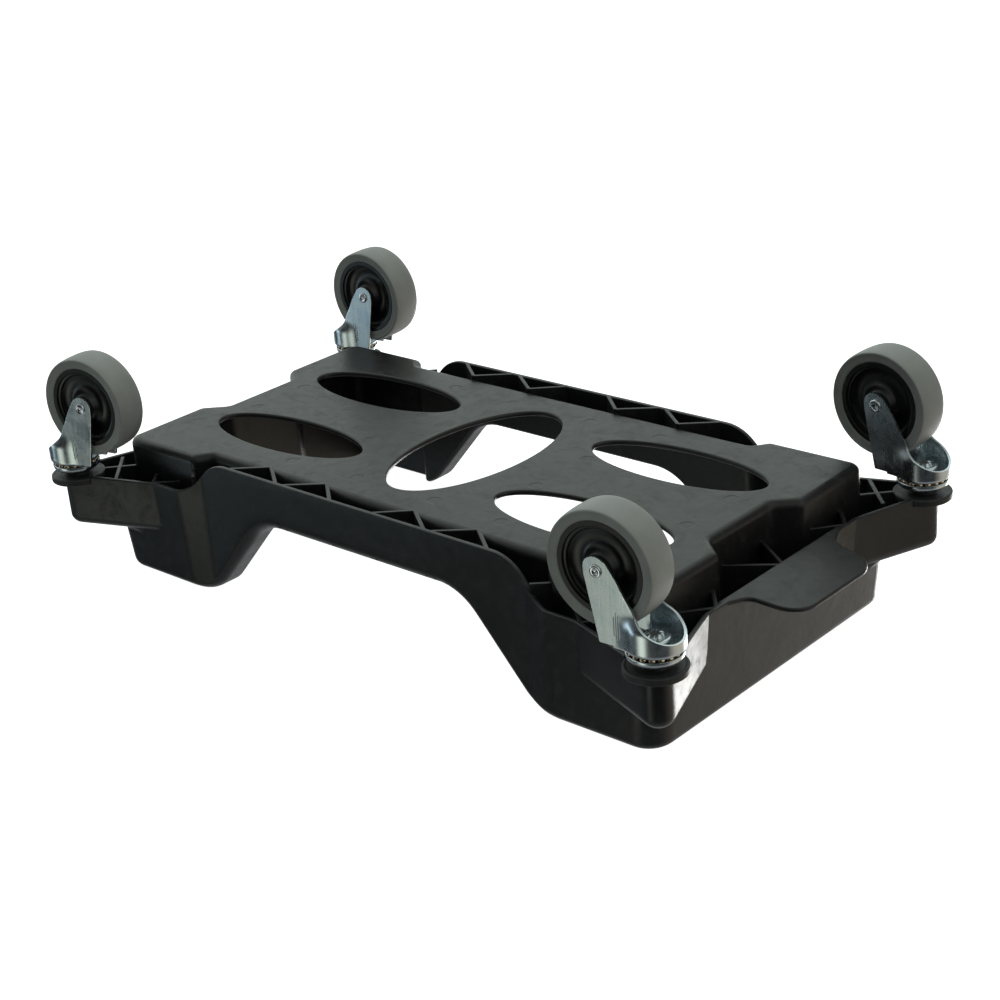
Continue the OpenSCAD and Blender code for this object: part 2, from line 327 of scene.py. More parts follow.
def moulded_plastic():
    """Black structural foam moulding: flow marks, fine grain and pale rubbed scuffs."""
    m = Material("platform_plastic", Specular_IOR_Level=0.42)
    m.rounded_edges(0.0009)
    cloud = m.noise(9, 4, 0.6, 0.8)
    swirl = m.noise(34, 6, 0.66, 2.2)
    grain = m.noise(1100, 2, 0.6)
    fleck = m.noise(330, 3, 0.7)
    tone = m.mix(m.fade(cloud, 0.35, 0.68), (0.0095, 0.0097, 0.010), (0.017, 0.0173, 0.0175))
    rubbed = m.fade(swirl, 0.5, 0.72)
    scuff = m.math("MULTIPLY", rubbed, m.fade(fleck, 0.4, 0.75))
    colour = m.mix(m.math("MULTIPLY", scuff, 0.55), tone, (0.06, 0.061, 0.062))
    rough = m.scaled(swirl, 0.24, 0.24)
    rough = m.math("ADD", rough, m.math("MULTIPLY", scuff, 0.25), True)
    m.bump(m.noise(26, 3, 0.5, 0.6), 0.0012, 0.35)
    m.bump(swirl, 0.0004, 0.3)
    m.bump(grain, 0.00012, 0.35)
    return m.done(colour, rough)


def zinc():
    """Bright zinc plate with a faint blue passivation, rolling streaks and dull blotches."""
    m = Material("zinc", Metallic=1.0)
    blotch = m.noise(60, 4, 0.6, 0.5)
    streak = m.noise(40, 3, 0.6, 0.0, m.stretched(6, 6, 0.6))
    scratch = m.noise(260, 2, 0.5, 0.0, m.stretched(4, 4, 0.25))
    tone = m.mix(m.fade(blotch, 0.3, 0.7), (0.55, 0.64, 0.69), (0.74, 0.79, 0.80))
    rough = m.scaled(blotch, 0.2, 0.12)
    rough = m.math("ADD", rough, m.math("MULTIPLY", streak, 0.12), True)
    m.bump(streak, 0.0003, 0.12)
    m.bump(scratch, 0.00004, 0.1)
    return m.done(tone, rough)


def ball_steel():
    m = Material("ball_steel", Metallic=1.0)
    film = m.noise(300, 2, 0.5)
    tone = m.mix(m.fade(film, 0.3, 0.7), (0.72, 0.52, 0.34), (0.85, 0.72, 0.56))
    m.bump(film, 0.00002, 0.2)
    return m.done(tone, m.scaled(film, 0.15, 0.1))


def plain_steel():
    """Turned steel with fine rings and an oil film."""
    m = Material("steel", Metallic=1.0)
    ring = m.noise(700, 2, 0.5, 0.0, m.stretched(0.2, 0.2, 3))
    film = m.noise(90, 3, 0.6)
    tone = m.mix(film, (0.42, 0.42, 0.43), (0.6, 0.6, 0.61))
    m.bump(ring, 0.00004, 0.3)
    return m.done(tone, m.scaled(film, 0.25, 0.22))


def rivet_steel():
    """Bright drawn steel of the axles, smoother than the forks, with a light oil film."""
    m = Material("axle_steel", Metallic=1.0)
    film = m.noise(160, 3, 0.6)
    tone = m.mix(m.fade(film, 0.3, 0.7), (0.66, 0.7, 0.73), (0.8, 0.82, 0.83))
    m.bump(film, 0.00003, 0.15)
    return m.done(tone, m.scaled(film, 0.12, 0.08))


def hub_plastic():
    """Glossy black polypropylene with a little dust and fine flow streaks."""
    m = Material("hub_plastic", Specular_IOR_Level=0.5)
    dust = m.fade(m.noise(120, 5, 0.7, 0.6), 0.52, 0.8)
    swirl = m.noise(24, 3, 0.6, 1.2)
    tone = m.mix(m.math("MULTIPLY", dust, 0.35), (0.006, 0.006, 0.0065), (0.05, 0.05, 0.05))
    rough = m.scaled(swirl, 0.1, 0.26)
    rough = m.math("ADD", rough, m.math("MULTIPLY", dust, 0.2), True)
    m.bump(swirl, 0.0003, 0.06)
    m.bump(m.noise(1200, 2, 0.5), 0.00002, 0.2)
    return m.done(tone, rough)


def tread_rubber():
    """Grey thermoplastic rubber, matt, with dust, faint smears and tiny pits."""
    m = Material("tread_rubber", Specular_IOR_Level=0.32)
    cloud = m.noise(30, 4, 0.6, 0.4)
    speck = m.fade(m.noise(420, 3, 0.7), 0.62, 0.78)
    tone = m.mix(m.fade(cloud, 0.3, 0.75), (0.3, 0.312, 0.3), (0.37, 0.383, 0.37))
    tone = m.mix(m.math("MULTIPLY", speck, 0.35), tone, (0.24, 0.24, 0.23))
    rough = m.scaled(cloud, 0.2, 0.42)
    m.bump(cloud, 0.0006, 0.2)
    m.bump(m.noise(1500, 2, 0.6), 0.00003, 0.4)
    return m.done(tone, rough)


def bumper_rubber():
    """Black rubber disc, softly worn, with pale rubbed patches."""
    m = Material("bumper_rubber", Specular_IOR_Level=0.4)
    cloud = m.noise(45, 4, 0.6, 0.5)
    worn = m.fade(m.noise(150, 4, 0.7, 0.8), 0.55, 0.75)
    tone = m.mix(m.math("MULTIPLY", worn, 0.4), (0.03, 0.0305, 0.031), (0.09, 0.09, 0.09))
    rough = m.scaled(cloud, 0.3, 0.34)
    m.bump(cloud, 0.0005, 0.25)
    m.bump(m.noise(1100, 2, 0.6), 0.00004, 0.4)
    return m.done(tone, rough)


def paint(obj, material):
    """Gives the whole object one material; a CAD node keeps its mesh, and its slots take the material."""
    if "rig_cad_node" in obj:
        for place in obj.material_slots:
            place.link = "OBJECT"
            place.material = material
        return
    obj.data.materials.clear()
    obj.data.materials.append(material)
    obj.data.polygons.foreach_set("material_index", [0] * len(obj.data.polygons))


# ---------------------------------------------------------------- platform shell

CAP_FILLET_BAND, CAP_FILLET_TOWER = 12.0, 8.5
TRAY_EDGE_R, FLOOR_FILLET_R, CHANNEL_R, DECK_FILLET_R, RIM_R = 4.0, 4.0, 2.5, 8.0, 1.3
FILLET_STEPS = 6


class SideCurve:
    """Height and upward normal over x of a line that steps up by rise: arc r1, straight, arc r2."""

    def __init__(self, start_x, start_z, rise, r1, r2, angle):
        self.x0, self.z0, self.rise, self.r1, self.r2, self.angle = start_x, start_z, rise, r1, r2, angle
        s, c = math.sin(angle), math.cos(angle)
        self.x1 = start_x + r1 * s
        self.z1 = start_z + r1 * (1 - c)
        self.x3 = start_x + r1 * s + (rise - (r1 + r2) * (1 - c)) / math.tan(angle) + r2 * s
        self.x2 = self.x3 - r2 * s

    def at(self, x):
        """(z, normal x, normal z)"""
        if x <= self.x0:
            return self.z0, 0.0, 1.0
        if x < self.x1:
            a = math.asin((x - self.x0) / self.r1)
            return self.z0 + off_side(self.r1, a), -math.sin(a), math.cos(a)
        if x < self.x2:
            z = self.z1 + (x - self.x1) * math.tan(self.angle)
            return z, -math.sin(self.angle), math.cos(self.angle)
        if x < self.x3:
            a = math.asin((self.x3 - x) / self.r2)
            return self.z0 + self.rise - off_side(self.r2, a), -math.sin(a), math.cos(a)
        return self.z0 + self.rise, 0.0, 1.0


CAP = SideCurve(ARCH_X, BAND_TOP_Z, TOTAL_H - BAND_TOP_Z, ARCH_R1, ARCH_R2, ARCH_ANGLE)
RIM = SideCurve(STEP_X, BAND_RIM_Z, RIM_Z - BAND_RIM_Z, STEP_R1, STEP_R2, STEP_ANGLE)

# Stations round one quarter, from the Y axis to the X axis: by x, then by the corner's angle, then by y
STEP_END_X = 245
side_x = [*np.linspace(0, ARCH_X, 6)[:-1], *np.linspace(ARCH_X, STEP_X, 19)[:-1]]
side_x += [*np.linspace(STEP_X, STEP_END_X, 37)[:-1]]
side_x += list(np.linspace(STEP_END_X, TURN_X, 7))
CORNER_STEPS = 8
corner_a = [math.pi / 2 * (1 - i / CORNER_STEPS) for i in range(1, CORNER_STEPS)]
end_y = [*np.linspace(TURN_Y, NOTCH_TOP_Y, 4)[:-1]]
end_y += [*np.linspace(NOTCH_TOP_Y, NOTCH_LOW_Y, 17)[:-1], *np.linspace(NOTCH_LOW_Y, 0, 4)]
STATIONS = [("side", x) for x in side_x] + [("corner", a) for a in corner_a] + [("end", y) for y in end_y]


def carried(value, start, end, new_end):
    """A value past start, stretched so that end comes to new_end."""
    return value if value <= start else start + (value - start) * (new_end - start) / (end - start)


class Profile:
    """Plan outline of one quarter with a stepped side and a stepped end, at any inset."""

    def __init__(self, side, end, corner, corner_r):
        self.side, self.end, self.corner, self.corner_r = side, end, corner, corner_r
        self.cache = {}

    def curves(self, d):
        key = round(d, 4)
        if key not in self.cache:
            side = np.array(outline(self.side, d, 10, False))[::-1]
            end = np.array(outline(self.end, d, 10, False))
            self.cache[key] = (side[:, 0], side[:, 1], end[:, 1], end[:, 0])
        return self.cache[key]

    def at(self, station, d, shift=0.0):
        """(x, y); shift moves a side station along x."""
        kind, value = station
        sx, sy, ey, ex = self.curves(d)
        cx, cy = self.corner[0] - self.corner_r, self.corner[1] - self.corner_r
        if kind == "side":
            x = carried(value, TOWER_X, TURN_X, cx) + shift
            return x, float(np.interp(x, sx, sy))
        if kind == "corner":
            r = max(0.4, self.corner_r - d)
            return cx + r * math.cos(value), cy + r * math.sin(value)
        y = carried(value, NOTCH_TOP_Y, TURN_Y, cy)
        return float(np.interp(y, ey, ex)), y


SKIRT = Profile(
    [(500, SKIRT_Y, 0), (TOWER_X, SKIRT_Y, 20), (BAND_END_X, BAND_Y, 20), (-60, BAND_Y, 0)],
    [(SKIRT_X, -60, 0), (SKIRT_X, 400, 0)],
    (SKIRT_X, SKIRT_Y),
    SKIRT_CORNER_R,
)
TRAY = Profile(
    [(500, LOBE_Y, 0), (229, LOBE_Y, 8), (217, WAIST_Y, 8), (-60, WAIST_Y, 0)],
    [(NOTCH_X, -60, 0), (NOTCH_X, 44, 8), (LOBE_X, 63, 8), (LOBE_X, 400, 0)],
    (LOBE_X, LOBE_Y),
    TRAY_CORNER_R,
)


def lean(x, y, z):
    """The towers' walls lean in above the rim, from nothing where the side bands begin."""
    h = max(0.0, z - RIM_Z)
    side_share = min(1.0, max(0.0, (x - BAND_END_X) / (TOWER_X - BAND_END_X)))
    side_share *= min(1.0, y / TURN_Y)
    end_share = min(1.0, max(0.0, (x - TOWER_X) / (TURN_X - TOWER_X)))
    return x - math.tan(END_LEAN) * h * end_share, y - math.tan(SIDE_LEAN) * h * side_share, z


def station_x(station):
    return station[1] if station[0] == "side" else SKIRT_X


def cap_radius(x):
    return CAP_FILLET_BAND + (CAP_FILLET_TOWER - CAP_FILLET_BAND) * smooth((x - ARCH_X) / (CAP.x3 - ARCH_X))


def skirt_wall_point(s, d, lift, drop, t):
    """Between the rim, lifted by lift, and the cap, dropped by drop, both along their normals."""
    x = station_x(s)
    rz, rnx, rnz = RIM.at(x)
    cz, cnx, cnz = CAP.at(x)
    shift = rnx * lift * (1 - t) - cnx * drop * t
    z = (rz + rnz * lift) * (1 - t) + (cz - cnz * drop) * t
    px, py = SKIRT.at(s, d, shift)
    return lean(px, py, z)


def cap_point(profile, s, d, drop):
    cz, cnx, cnz = CAP.at(station_x(s))
    px, py = profile.at(s, d, -cnx * drop)
    z = cz - cnz * drop
    return lean(px, py, z) if profile is SKIRT else (px, py, z)


def tray_wall_point(s, d, drop, low_z, t):
    """Between the cap, dropped by drop, and the height low_z."""
    cz, cnx, cnz = CAP.at(station_x(s))
    px, py = TRAY.at(s, d, -cnx * drop * (1 - t))
    return px, py, (cz - cnz * drop) * (1 - t) + low_z * t


def blend_points(a, b, t):
    return tuple(p * (1 - t) + q * t for p, q in zip(a, b))


def quarter_rows():
    """Rows of one quarter's stations, from the deck's underside over the section to the tray's floor."""
    steps = quarter_turn(FILLET_STEPS)
    rows = []

    def add(point):
        rows.append([point(s) for s in STATIONS])

    for a in reversed(steps):
        z = FLOOR_Z + off_end(DECK_FILLET_R, a)
        add(lambda s, a=a, z=z: (*TRAY.at(s, off_side(DECK_FILLET_R, a)), z))
    under = WALL + CHANNEL_R
    for t in (0.75, 0.5, 0.25):
        add(lambda s, t=t: tray_wall_point(s, 0, under, FLOOR_Z + DECK_FILLET_R, t))
    for a in steps:
        add(lambda s, a=a: cap_point(TRAY, s, -off_side(CHANNEL_R, a), WALL + off_end(CHANNEL_R, a)))
    for a in reversed(steps):
        add(lambda s, a=a: cap_point(SKIRT, s, WALL + off_side(CHANNEL_R, a), WALL + off_end(CHANNEL_R, a)))
    for t in (0.8, 0.6, 0.4, 0.2, 0):
        add(lambda s, t=t: skirt_wall_point(s, WALL, RIM_R, under, t))
    near = 0.3 * RIM_R
    for d, lift in ((WALL - near, near), (WALL - RIM_R, 0), (RIM_R, 0), (near, near)):
        add(lambda s, d=d, lift=lift: skirt_wall_point(s, d, lift, 0, 0))
    for t in (0, 0.2, 0.4, 0.6, 0.8):
        add(lambda s, t=t: skirt_wall_point(s, 0, RIM_R, cap_radius(station_x(s)), t))
    for a in steps:
        add(lambda s, a=a: cap_point(
            SKIRT, s, off_side(cap_radius(station_x(s)), a), off_end(cap_radius(station_x(s)), a)))
    for t in (0.33, 0.67):
        add(lambda s, t=t: blend_points(cap_point(SKIRT, s, cap_radius(station_x(s)), 0),
                                        cap_point(TRAY, s, WALL - TRAY_EDGE_R, 0), t))
    for a in reversed(steps):
        add(lambda s, a=a: cap_point(TRAY, s, WALL - off_side(TRAY_EDGE_R, a), off_end(TRAY_EDGE_R, a)))
    for t in (0.33, 0.67):
        add(lambda s, t=t: tray_wall_point(s, WALL, TRAY_EDGE_R, FLOOR_Z + WALL + FLOOR_FILLET_R, t))
    for a in steps:
        z = FLOOR_Z + WALL + off_end(FLOOR_FILLET_R, a)
        add(lambda s, a=a, z=z: (*TRAY.at(s, WALL + off_side(FLOOR_FILLET_R, a)), z))
    return rows


def whole_ring(quarter):
    """The whole loop from one quarter's points."""
    flip_y = [(x, -y, z) for x, y, z in reversed(quarter)]
    flip_both = [(-x, -y, z) for x, y, z in quarter]
    flip_x = [(-x, y, z) for x, y, z in reversed(quarter)]
    return quarter + flip_y[1:] + flip_both[1:] + flip_x[1:-1]


# Holes in the tray floor: centre, half length, half width
HOLES = [(0.0, 0.0, 57.6, 109.0)]
HOLES += [(sx * 189.3, sy * 70.1, 97.7, 35.4) for sx in (1, -1) for sy in (1, -1)]
HOLE_POINTS = 96
HOLE_LOW_R, HOLE_HIGH_R = 2.6, 1.6


def ellipse(hole, grow, z):
    cx, cy, a, b = hole
    return [
        (cx + (a + grow) * math.cos(t), cy + (b + grow) * math.sin(t), z)
        for t in np.linspace(0, 2 * math.pi, HOLE_POINTS, endpoint=False)
    ]


# Round marks of the ejector pins under the deck
PIN_PLACES = [(50, 112), (134, 115), (108, 37), (277, 33)]
PIN_MARKS = [(x * sx, y * sy) for x, y in PIN_PLACES for sx in (1, -1) for sy in (1, -1)]
PIN_R, PIN_DEPTH, PIN_POINTS = 7.0, 0.25, 28


def is_inside(loop, x, y):
    crossings = 0
    for (x0, y0, _), (x1, y1, _) in zip(loop, loop[1:] + loop[:1]):
        if (y0 > y) != (y1 > y) and x < x0 + (y - y0) * (x1 - x0) / (y1 - y0):
            crossings += 1
    return crossings % 2 == 1


def shell_mesh():
    verts, faces = [], []

    def add_rings(rings):
        start = len(verts)
        for ring in rings:
            verts.extend(ring)
        faces.extend(grid_faces(len(rings), len(rings[0]), start=start))
        count = len(rings[0])
        first = list(range(start, start + count))
        last = list(range(len(verts) - count, len(verts)))
        return first, last

    def fill(loops):
        """Closes a flat region bounded by loops of vertex indices, the first of them the outside."""
        flat = [i for loop in loops for i in loop]
        edges, start = [], 0
        for loop in loops:
            edges += [(start + k, start + (k + 1) % len(loop)) for k in range(len(loop))]
            start += len(loop)
        made = delaunay_2d_cdt([Vector(verts[i][:2]) for i in flat], edges, [], 0, 1e-6)
        back = [origins[0] for origins in made[3]]
        bounds = [[verts[i] for i in loop] for loop in loops]
        for tri in made[2]:
            x = sum(made[0][k].x for k in tri) / 3
            y = sum(made[0][k].y for k in tri) / 3
            if sum(is_inside(bound, x, y) for bound in bounds) == 1:
                faces.append(tuple(flat[back[k]] for k in tri))

    deck_loop, floor_loop = add_rings([whole_ring(row) for row in quarter_rows()])
    deck_loops, floor_loops = [deck_loop], [floor_loop]
    steps = quarter_turn(4)
    for hole in HOLES:
        rings = [ellipse(hole, off_end(HOLE_LOW_R, a), FLOOR_Z + off_side(HOLE_LOW_R, a)) for a in steps]
        top = FLOOR_Z + WALL
        for a in reversed(steps):
            rings.append(ellipse(hole, off_end(HOLE_HIGH_R, a), top - off_side(HOLE_HIGH_R, a)))
        low_loop, high_loop = add_rings(rings)
        deck_loops.append(low_loop)
        floor_loops.append(high_loop)
    for x, y in PIN_MARKS:
        levels = ((PIN_R, FLOOR_Z), (PIN_R - 0.4, FLOOR_Z + PIN_DEPTH))
        rings = [level_circle(x, y, r, z, PIN_POINTS) for r, z in levels]
        outer, inner = add_rings(rings)
        deck_loops.append(outer)
        faces.append(tuple(inner))
    fill(deck_loops)
    fill(floor_loops)
    mesh = mesh_from("platform_shell", verts, faces)
    recalc(mesh)
    return mesh


# ---------------------------------------------------------------- corner blocks, ribs and tongue

BLOCK_SIDE_X, BLOCK_END_Y = 272.0, 111.0
BLOCK_ROUND, BLOCK_SWEEP = 11.0, 10.0


def wall_places(h):
    """Points on the leaning tower wall behind a block with their outward directions, at h above the rim."""
    end_x, side_y = SKIRT_X - math.tan(END_LEAN) * h, SKIRT_Y - math.tan(SIDE_LEAN) * h
    c = Vector((end_x - SKIRT_CORNER_R, side_y - SKIRT_CORNER_R))
    places = [(Vector((x, side_y)), Vector((0, 1))) for x in np.linspace(BLOCK_SIDE_X - 8, c.x, 14)[:-1]]
    for a in np.linspace(math.pi / 2, 0, 41):
        out = Vector((math.cos(a), math.sin(a)))
        places.append((c + out * SKIRT_CORNER_R, out))
    places += [(Vector((end_x, y)), Vector((1, 0))) for y in np.linspace(c.y, BLOCK_END_Y - 8, 14)[1:]]
    return places


def block_path(d, h):
    """Outer side of one block, drawn in by d, from the skirt's side round the column to its end."""
    c = Vector((STEM_X, STEM_Y))
    r = COLUMN_R - d
    p = Vector((BLOCK_SIDE_X, SKIRT_Y - d - math.tan(SIDE_LEAN) * h))
    q = Vector((SKIRT_X - d - math.tan(END_LEAN) * h, BLOCK_END_Y))
    vp, vq = c - p, c - q
    ap = math.atan2(vp.y, vp.x) + math.asin(r / vp.length)
    aq = math.atan2(vq.y, vq.x) - math.asin(r / vq.length)
    column = arc_points(c, r, ap + math.pi / 2, aq - math.pi / 2, 28)
    return [Vector(v) for v in [(p.x - 80, p.y - 8), p, *column, q, (q.x - 8, q.y - 80)]]


def reach(place, out, path):
    """How far the path lies from a place along its outward direction."""
    side = Vector((-out.y, out.x))
    best = -99.0
    for a, b in zip(path, path[1:]):
        u, v = (a - place).dot(side), (b - place).dot(side)
        if u * v <= 0 and u != v:
            best = max(best, (a + (b - a) * u / (u - v) - place).dot(out))
    return best


# How far the block and its hollow reach back inside the tower's wall
BLOCK_BACK, HOLLOW_BACK = 2.5, 8


def block_ring(d, z, depth, limit=99.0):
    """A ring of the block at height z, at most limit off the tower's wall, closed inside it by depth."""
    h = max(0.0, z - RIM_Z)
    places, path = wall_places(h), block_path(d, h)
    front = [p + n * max(0.1 - depth / 2, min(limit, reach(p, n, path))) for p, n in places]
    back = [p - n * depth for p, n in reversed(places)]
    return [(v.x, v.y, z) for v in front + back]


def mirrored(points, sx, sy):
    return [[(x * sx, y * sy, z) for x, y, z in ring] for ring in points]


def block_rings():
    """Rings of the solid block, and of the hollow to cut from it."""
    steps = quarter_turn(8)
    outer = [block_ring(RIM_R, RIM_Z, BLOCK_BACK), block_ring(0.3 * RIM_R, RIM_Z + 0.3 * RIM_R, BLOCK_BACK)]
    outer += [block_ring(0, z, BLOCK_BACK) for z in np.linspace(RIM_Z + RIM_R, BLOCK_TOP_Z - BLOCK_ROUND, 6)]
    for a in steps[1:]:
        outer.append(block_ring(off_side(BLOCK_ROUND, a), BLOCK_TOP_Z - off_end(BLOCK_ROUND, a), BLOCK_BACK))
    for a in steps:
        limit = off_end(BLOCK_SWEEP, a) - 0.5 * (a == steps[-1])
        z = BLOCK_TOP_Z + 0.01 + off_side(BLOCK_SWEEP, a)
        outer.append(block_ring(BLOCK_ROUND, z, BLOCK_BACK, limit))
    inner = [block_ring(WALL - RIM_R, z, HOLLOW_BACK) for z in (RIM_Z - 40, RIM_Z)]
    inner += [block_ring(WALL - 0.3 * RIM_R, RIM_Z + 0.3 * RIM_R, HOLLOW_BACK)]
    inner += [block_ring(WALL, z, HOLLOW_BACK) for z in np.linspace(RIM_Z + RIM_R, BLOCK_TOP_Z - WALL - 4, 5)]
    inner += [block_ring(WALL + 1.2, BLOCK_TOP_Z - WALL - 1.2, HOLLOW_BACK)]
    inner += [block_ring(WALL + 4, BLOCK_TOP_Z - WALL, HOLLOW_BACK)]
    return outer, inner


def column_rings():
    """The solid column round a stem's socket, rounded like the block at its upper end."""
    levels = [(COLUMN_R - 0.6, RIM_Z)]
    for a in quarter_turn(8):
        r = COLUMN_R - 0.6 - off_side(BLOCK_ROUND, a)
        levels.append((r, BLOCK_TOP_Z - 0.6 - off_end(BLOCK_ROUND, a)))
    return [level_circle(STEM_X, STEM_Y, r, z) for r, z in levels]


RIB_T, RIB_EDGE_R = 3.8, 0.8


def rib_solid(a, b, low, high):
    """A standing rib from a to b, with its lower edges rounded."""
    a, b = Vector(a), Vector(b)
    d = (b - a).normalized()
    n = Vector((-d.y, d.x)) * (RIB_T / 2)
    section = [(-1, high), (-1, low + RIB_EDGE_R)]
    edge = RIB_EDGE_R / (RIB_T / 2)
    section += [(-1 + 0.3 * edge, low + 0.3 * RIB_EDGE_R), (-1 + edge, low)]
    section += [(-u, z) for u, z in reversed(section)]
    start = [lean(a.x + n.x * u, a.y + n.y * u, z) for u, z in section]
    end = [(b.x + n.x * u, b.y + n.y * u, z) for u, z in section]
    return [start, end]


def rib_list():
    """Ribs of one quarter: start, end, lower height, upper height."""
    ribs = []
    for left, apex, right in ((27, 57, 92), (100, 134, 167)):
        for foot in (left, right):
            ribs.append(((foot, BAND_Y - 3), (apex, WAIST_Y - 3), BAND_RIM_Z, BAND_TOP_Z - 4.6))
    ribs += [
        ((276, SKIRT_Y - 3), (254, LOBE_Y - 2), RIM_Z, 220),
        ((276, SKIRT_Y - 3), (292, LOBE_Y - 2), RIM_Z, 220),
        ((SKIRT_X - 3, 97), (LOBE_X - 2, 72), RIM_Z, 220),
        ((SKIRT_X - 3, 97), (LOBE_X - 2, 122), RIM_Z, 220),
        ((LOBE_X - 6, LOBE_Y - 6), (STEM_X - 9, STEM_Y - 9), RIM_Z, BLOCK_TOP_Z - 6.5),
        ((317.2, 193.9), (358.0, 152.7), RIM_Z, BLOCK_TOP_Z - 6.5),
        ((217, 174), (231, 162), 112.5, 190),
        ((SKIRT_X - 3, 0), (NOTCH_X - 2, 30), RIM_Z, 220),
    ]
    return ribs


TONGUE_REACH, TONGUE_HALF_W, TONGUE_T, TONGUE_SLOPE = 58.0, 60.0, 4.5, math.radians(7.4)
TONGUE_EDGE_R = 1.9


def tongue_solid():
    """The pull tongue: a slab with rounded edges that slopes down from the rim of the end wall."""
    half = [(-4, 92, 0), (2.6, 86, 6), (11, TONGUE_HALF_W + 4.5, 13), (TONGUE_REACH, TONGUE_HALF_W - 2, 26)]
    corners = [(x, -y, r) for x, y, r in half] + [(x, y, r) for x, y, r in reversed(half)]
    rings = []
    levels = [(off_end(TONGUE_EDGE_R, a), off_side(TONGUE_EDGE_R, a)) for a in quarter_turn(5)]
    levels += [(d, TONGUE_T - z) for d, z in reversed(levels)]
    for d, z in levels:
        ring = []
        for x, y in outline(corners, d, 8):
            c, s = math.cos(TONGUE_SLOPE), math.sin(TONGUE_SLOPE)
            x = max(x, -4)
            ring.append((SKIRT_X - 3 + x * c - z * s, y, RIM_Z + x * s + z * c))
        rings.append(ring)
    return stacked("tongue", rings)


def cylinder_solid(x, y, r, low, high):
    return stacked("cylinder", [level_circle(x, y, r, z) for z in (low, high)])


def finished_mesh(obj, sharp_degrees=32):
    """Cleans a finished mesh in millimetres, moves it to the row frame in metres and sets its shading."""
    mesh = obj.data
    bm = bmesh.new()
    bm.from_mesh(mesh)
    bmesh.ops.remove_doubles(bm, verts=bm.verts, dist=0.004)
    bmesh.ops.dissolve_degenerate(bm, edges=bm.edges, dist=0.004)
    bmesh.ops.recalc_face_normals(bm, faces=bm.faces)
    for v in bm.verts:
        v.co = v.co * MM
    for f in bm.faces:
        f.smooth = True
    for e in bm.edges:
        e.smooth = len(e.link_faces) == 2 and e.calc_face_angle(0) < math.radians(sharp_degrees)
    bm.to_mesh(mesh)
    bm.free()
    mod = obj.modifiers.new("normals", "WEIGHTED_NORMAL")
    mod.keep_sharp = True
    mod.weight = 80


def build_platform():
    body = new_object("platform_moulding", shell_mesh())
    outer, inner = block_rings()
    quarters = [(sx, sy) for sx in (1, -1) for sy in (1, -1)]
    for sx, sy in quarters:
        boolean(body, stacked("block", mirrored(outer, sx, sy)), "UNION")
    for sx, sy in quarters:
        boolean(body, stacked("hollow", mirrored(inner, sx, sy)), "DIFFERENCE")
    for sx, sy in quarters:
        boolean(body, stacked("column", mirrored(column_rings(), sx, sy)), "UNION")
    for sx, sy in quarters:
        for a, b, low, high in rib_list():
            boolean(body, stacked("rib", mirrored(rib_solid(a, b, low, high), sx, sy)), "UNION")
    boolean(body, tongue_solid(), "UNION")
    for sx, sy in quarters:
        seat = cylinder_solid(STEM_X * sx, STEM_Y * sy, BUMPER_R + 0.3, RIM_Z - 20, DISC_TOP_Z)
        boolean(body, seat, "DIFFERENCE")
        socket = cylinder_solid(STEM_X * sx, STEM_Y * sy, STEM_R, DISC_TOP_Z - 1, SOCKET_END_Z)
        boolean(body, socket, "DIFFERENCE")
    for v in body.data.vertices:
        v.co.x -= MID_X
    finished_mesh(body)
    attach(body, "platform")
    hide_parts("platform")
    paint(body, moulded_plastic())


# ---------------------------------------------------------------- caster pieces, in millimetres
# Each is made with its stem on the Z axis and its wheel trailing along +X, then moved to its corner.

TRAIL, AXLE_Z, WHEEL_R, HUB_R, TREAD_HALF = 38.5, 50.8, 50.8, 40.3, 16.4
TREAD_CROWN, TREAD_EDGE_R = 1.0, 1.7
LEG_OUT, LEG_T, CROWN_R, LIP_Z = 19.6, 2.5, 24.4, 115.3
LATHE_STEPS = 96


def lathe(name, profile, axis="Z", centre=(0, 0, 0), steps=LATHE_STEPS, wobble=None):
    """A closed turned piece. profile: (radius, distance along the axis), a closed section.
    wobble(radius, along, angle) gives a changed (radius, along)."""
    verts, faces, rows = [], [], []
    for r, h in profile:
        row = []
        for k in range(steps if r > 0 else 1):
            a = 2 * math.pi * k / steps
            rr, hh = wobble(r, h, a) if wobble else (r, h)
            u, v = rr * math.cos(a), rr * math.sin(a)
            row.append(len(verts))
            along_z = (centre[0] + u, centre[1] + v, centre[2] + hh)
            verts.append(along_z if axis == "Z" else (centre[0] + u, centre[1] + hh, centre[2] + v))
        rows.append(row)
    open_ended = len(rows[0]) == 1
    for low, high in zip(rows, rows[1:] if open_ended else rows[1:] + rows[:1]):
        for k in range(steps):
            ends = [low[k % len(low)], low[(k + 1) % len(low)]]
            ends += [high[(k + 1) % len(high)], high[k % len(high)]]
            faces.append(tuple(dict.fromkeys(ends)))
    mesh = mesh_from(name, verts, faces)
    recalc(mesh)
    return new_object(name, mesh)


def rounded_profile(corners, n=5):
    """A closed section from corners (radius, along, fillet)."""
    points = [Vector(c[:2]) for c in corners]
    area = sum(a.x * b.y - b.x * a.y for a, b in zip(points, points[1:] + points[:1]))
    return outline(corners if area > 0 else corners[::-1], 0, n)


def both_sides(half):
    """A closed section from its half, given from the bore outwards at +along."""
    return half + [(r, -y) for r, y in reversed(half)]


